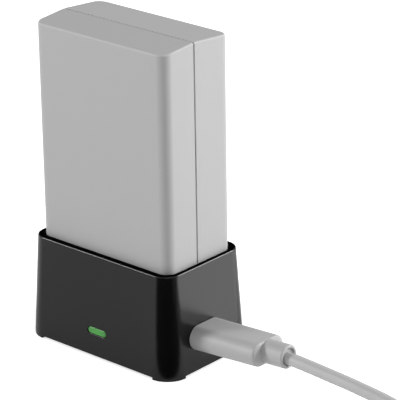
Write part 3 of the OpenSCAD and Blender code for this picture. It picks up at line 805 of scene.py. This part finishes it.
class DOCK_OT_window(bpy.types.Operator):
    """Sets the lit green lens in the window"""
    bl_idname = "dock.window"
    bl_label = "Status window"

    def execute(self, context):
        lens_w, lens_t = WINDOW_W - 2 * LENS_GAP, WINDOW_T - 2 * LENS_GAP
        # The lens's face is rounded, given as (inset, depth) in mm, and a flange behind the wall holds it
        face = ((0.5, 0.1), (0.3, 0.11), (0.12, 0.14), (0.03, 0.2), (0.0, 0.3), (0.0, 1.7))
        rings = [along_y(pill(lens_w - 2 * inset * MM, lens_t - 2 * inset * MM), depth * MM)
                 for inset, depth in face]
        rings += [along_y(pill(7.8 * MM, 3.2 * MM), depth * MM) for depth in (1.7, 2.38)]
        moulding("window_lens", rings, front_wall(), "window_green", "light_pipe", 50)
        return {"FINISHED"}


def half_shell(sign, sizes):
    """One half shell of the pack, from the seam groove to the front (-1) or the back (1)."""
    r, edge = sizes.pack_corner, sizes.pack_edge
    parting = SEAM_Y + sign * sizes.seam_width / 2

    def outline(inset):
        corner = [(x, sign * y) for x, y in arc(PACK_W / 2 - r, PACK_D / 2 - r, r - inset, 0, 90, 10)]
        right = [(PACK_W / 2 - inset, parting)] + corner
        return right + [(-x, y) for x, y in reversed(right)]

    rounding = arc(edge, edge, edge, 270, 180)
    rings = [along_z(outline(inset), PACK_LOW.z + rise) for inset, rise in rounding]
    rings += [[Vector((x, y, pack_roof(y) - fall)) for x, y in outline(inset)] for fall, inset in rounding]
    bm = bmesh.new()
    ring_stack(bm, rings)
    bmesh.ops.recalc_face_normals(bm, faces=bm.faces)
    flat = [f for f in bm.faces if all(abs(v.co.y - parting) < 1e-7 for v in f.verts)]
    flat = bmesh.ops.dissolve_faces(bm, faces=flat)["region"]
    groove_edges = {e for f in flat for e in f.edges}
    bmesh.ops.bevel(bm, geom=list(groove_edges), offset=0.1 * MM, segments=3, profile=0.5, affect="EDGES",
                    clamp_overlap=True)
    return bm


class DOCK_OT_pack(bpy.types.Operator):
    """Moulds the battery pack from two half shells with a groove between them"""
    bl_idname = "dock.pack"
    bl_label = "Battery pack"

    def execute(self, context):
        sizes = context.scene.dock_sizes
        whole = bmesh.new()
        for sign in (-1, 1):
            merge(whole, half_shell(sign, sizes))
        # A core that fills the shells and shows as the floor of the groove
        depth = 0.3 * MM
        outline = round_rect(PACK_W - 2 * depth, PACK_D - 2 * depth, sizes.pack_corner - depth, steps=8)
        core = bmesh.new()
        ring_stack(core, [along_z(outline, PACK_LOW.z + depth),
                          [Vector((x, y, pack_roof(y) - 1.3 * depth)) for x, y in outline]])
        merge(whole, core)
        finish_piece("pack_shells", whole, "pack_grey", ("battery_pack",))
        return {"FINISHED"}


# The solids that stay as they are, by the slot of their finish
CARRIED_OVER = {
    "base_black": ["base_plate"],
    "screw_steel": ["base_screws", "board_screws"],
    "board_green": ["main_board", "port_board"],
    "insulator_black": ["contact_block", "socket_tongue", "plug_insert"],
    "contact_gold": [f"{kind}_{k}" for kind in ("contact_blade", "pack_terminal") for k in range(1, 5)],
    "chip_black": ["charge_controller", "power_transistor"] + [f"resistor_{k}" for k in range(1, 5)],
    "ferrite_grey": ["power_inductor"],
    "ceramic_tan": [f"capacitor_{k}" for k in range(1, 5)],
    "lamp_white": ["status_lamp"],
    "solder": ["port_solder"],
    "plug_steel": ["socket_shell", "plug_shell", "far_shell"],
    "insulator_white": ["far_insert"],
}


class DOCK_OT_carried_over(bpy.types.Operator):
    """Gives every solid that stays as it is its own finish"""
    bl_idname = "dock.carried_over"
    bl_label = "Solids that stay"

    def execute(self, context):
        for slot, names in CARRIED_OVER.items():
            for name in names:
                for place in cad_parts[name].material_slots:
                    place.material = finish_of(slot)
        return {"FINISHED"}


def area_light(name, at, size, power):
    """A square soft light that points at the foot of the pack."""
    data = bpy.data.lights.new(name, "AREA")
    data.size = size
    data.energy = power
    lamp = bpy.data.objects.new(name, data)
    lamp.location = at
    lamp.rotation_euler = (Vector((0, 0, 0.03)) - Vector(at)).to_track_quat("-Z", "Y").to_euler()
    bpy.context.scene.collection.objects.link(lamp)


def reflected_card(name, height, start, end, near, far, **looks):
    """A card on the table that only glossy walls see, as a sector round the dock's front corner."""
    corner = Vector((FOOT_W / 2 - 0.8 * MM, -(FOOT_D / 2 - 0.3 * MM), height))
    steps = 12
    bm = bmesh.new()
    inner, outer = [[bm.verts.new(corner + Vector((x, y, 0))) for x, y in arc(0, 0, r, start, end, steps)]
                    for r in (near, far)]
    for k in range(steps):
        bm.faces.new((inner[k], outer[k], outer[k + 1], inner[k + 1]))
    card = object_from(name, bm)
    f = Nodes(bpy.data.materials.new(name), Base_Color=BLACK, Roughness=1.0, **looks)
    card.data.materials.append(f.owner)
    for ray in ("camera", "diffuse", "transmission", "volume_scatter", "shadow"):
        setattr(card, "visible_" + ray, False)


class DOCK_OT_stage(bpy.types.Operator):
    """Lays the pale floor and sets the soft lights"""
    bl_idname = "dock.stage"
    bl_label = "Stage"

    def execute(self, context):
        looks = context.scene.studio_looks
        self.lay_floor(looks)
        reflected_card("dark_card", 0.1 * MM, -118, 28, 0.01 * MM, 0.6)
        reflected_card("light_panel", 0.15 * MM, 32, 75, 30 * MM, 0.5,
                       Emission_Color=WHITE, Emission_Strength=2.3)

        # An even surround that lights the object, behind which the camera sees white
        world = bpy.data.worlds.new("surround")
        context.scene.world = world
        sky = Nodes(world, Color=WHITE, Strength=looks.surround)
        backdrop = sky.node("ShaderNodeBackground", {}, {"Color": WHITE, "Strength": 1.0})
        sky.mix_in(sky.node("ShaderNodeLightPath", {}, {}, "Is Camera Ray"), backdrop)

        area_light("key light", (-0.95, -0.9, 0.55), 0.34, looks.key_power)
        area_light("side light", (0.74, 0.87, 0.45), 0.4, looks.side_power)
        area_light("fill light", (0.65, -0.24, 0.98), 0.8, looks.fill_power)
        context.scene.view_settings.view_transform = "Standard"
        return {"FINISHED"}

    def lay_floor(self, looks):
        """Lays a floor that the camera sees nearly white, and that keeps the object's shadow."""
        f = Nodes(bpy.data.materials.new("pale floor"),
                  Roughness=0.9, Specular_IOR_Level=0.1, Emission_Strength=1.0)
        f.wear(Base_Color=f.blend(f.speckle(6.0), grey(looks.floor_level - 1), grey(looks.floor_level)))
        seen, glossy, through = f.node("ShaderNodeLightPath", {}, {},
                                       "Is Camera Ray", "Is Glossy Ray", "Is Transmission Ray")
        f.wear(Emission_Color=f.blend(seen * 0.55 + (glossy + through) * 0.05, BLACK, WHITE))
        bm = bmesh.new()
        bmesh.ops.create_grid(bm, x_segments=2, y_segments=2, size=6.0)
        floor = object_from("floor", bm)
        floor.data.materials.append(f.owner)


OPERATORS = (DOCK_OT_camera, DOCK_OT_plug, DOCK_OT_far_plug, DOCK_OT_cable, DOCK_OT_housing, DOCK_OT_window,
             DOCK_OT_pack, DOCK_OT_carried_over, DOCK_OT_stage)


class DOCK_PT_panel(bpy.types.Panel):
    """Builds the dock piece by piece"""
    bl_idname = "DOCK_PT_panel"
    bl_label = "Battery dock"
    bl_space_type = "VIEW_3D"
    bl_region_type = "UI"
    bl_category = "Dock"

    def draw(self, context):
        for group in (context.scene.dock_looks, context.scene.dock_sizes, context.scene.studio_looks):
            box = self.layout.box()
            for name in type(group).__annotations__:
                box.prop(group, name)
        for operator in OPERATORS:
            self.layout.operator(operator.bl_idname)


CLASSES = (DockLooks, DockSizes, StudioLooks, *OPERATORS, DOCK_PT_panel)


def register():
    for cls in CLASSES:
        bpy.utils.register_class(cls)
    bpy.types.Scene.dock_looks = bpy.props.PointerProperty(type=DockLooks)
    bpy.types.Scene.dock_sizes = bpy.props.PointerProperty(type=DockSizes)
    bpy.types.Scene.studio_looks = bpy.props.PointerProperty(type=StudioLooks)


def unregister():
    del bpy.types.Scene.studio_looks
    del bpy.types.Scene.dock_sizes
    del bpy.types.Scene.dock_looks
    for cls in reversed(CLASSES):
        bpy.utils.unregister_class(cls)


def main():
    register()
    bpy.ops.dock.camera()
    bpy.ops.dock.plug()
    bpy.ops.dock.far_plug()
    bpy.ops.dock.cable()
    bpy.ops.dock.housing()
    bpy.ops.dock.window()
    bpy.ops.dock.pack()
    bpy.ops.dock.carried_over()
    bpy.ops.dock.stage()


if __name__ == "__main__":
    main()
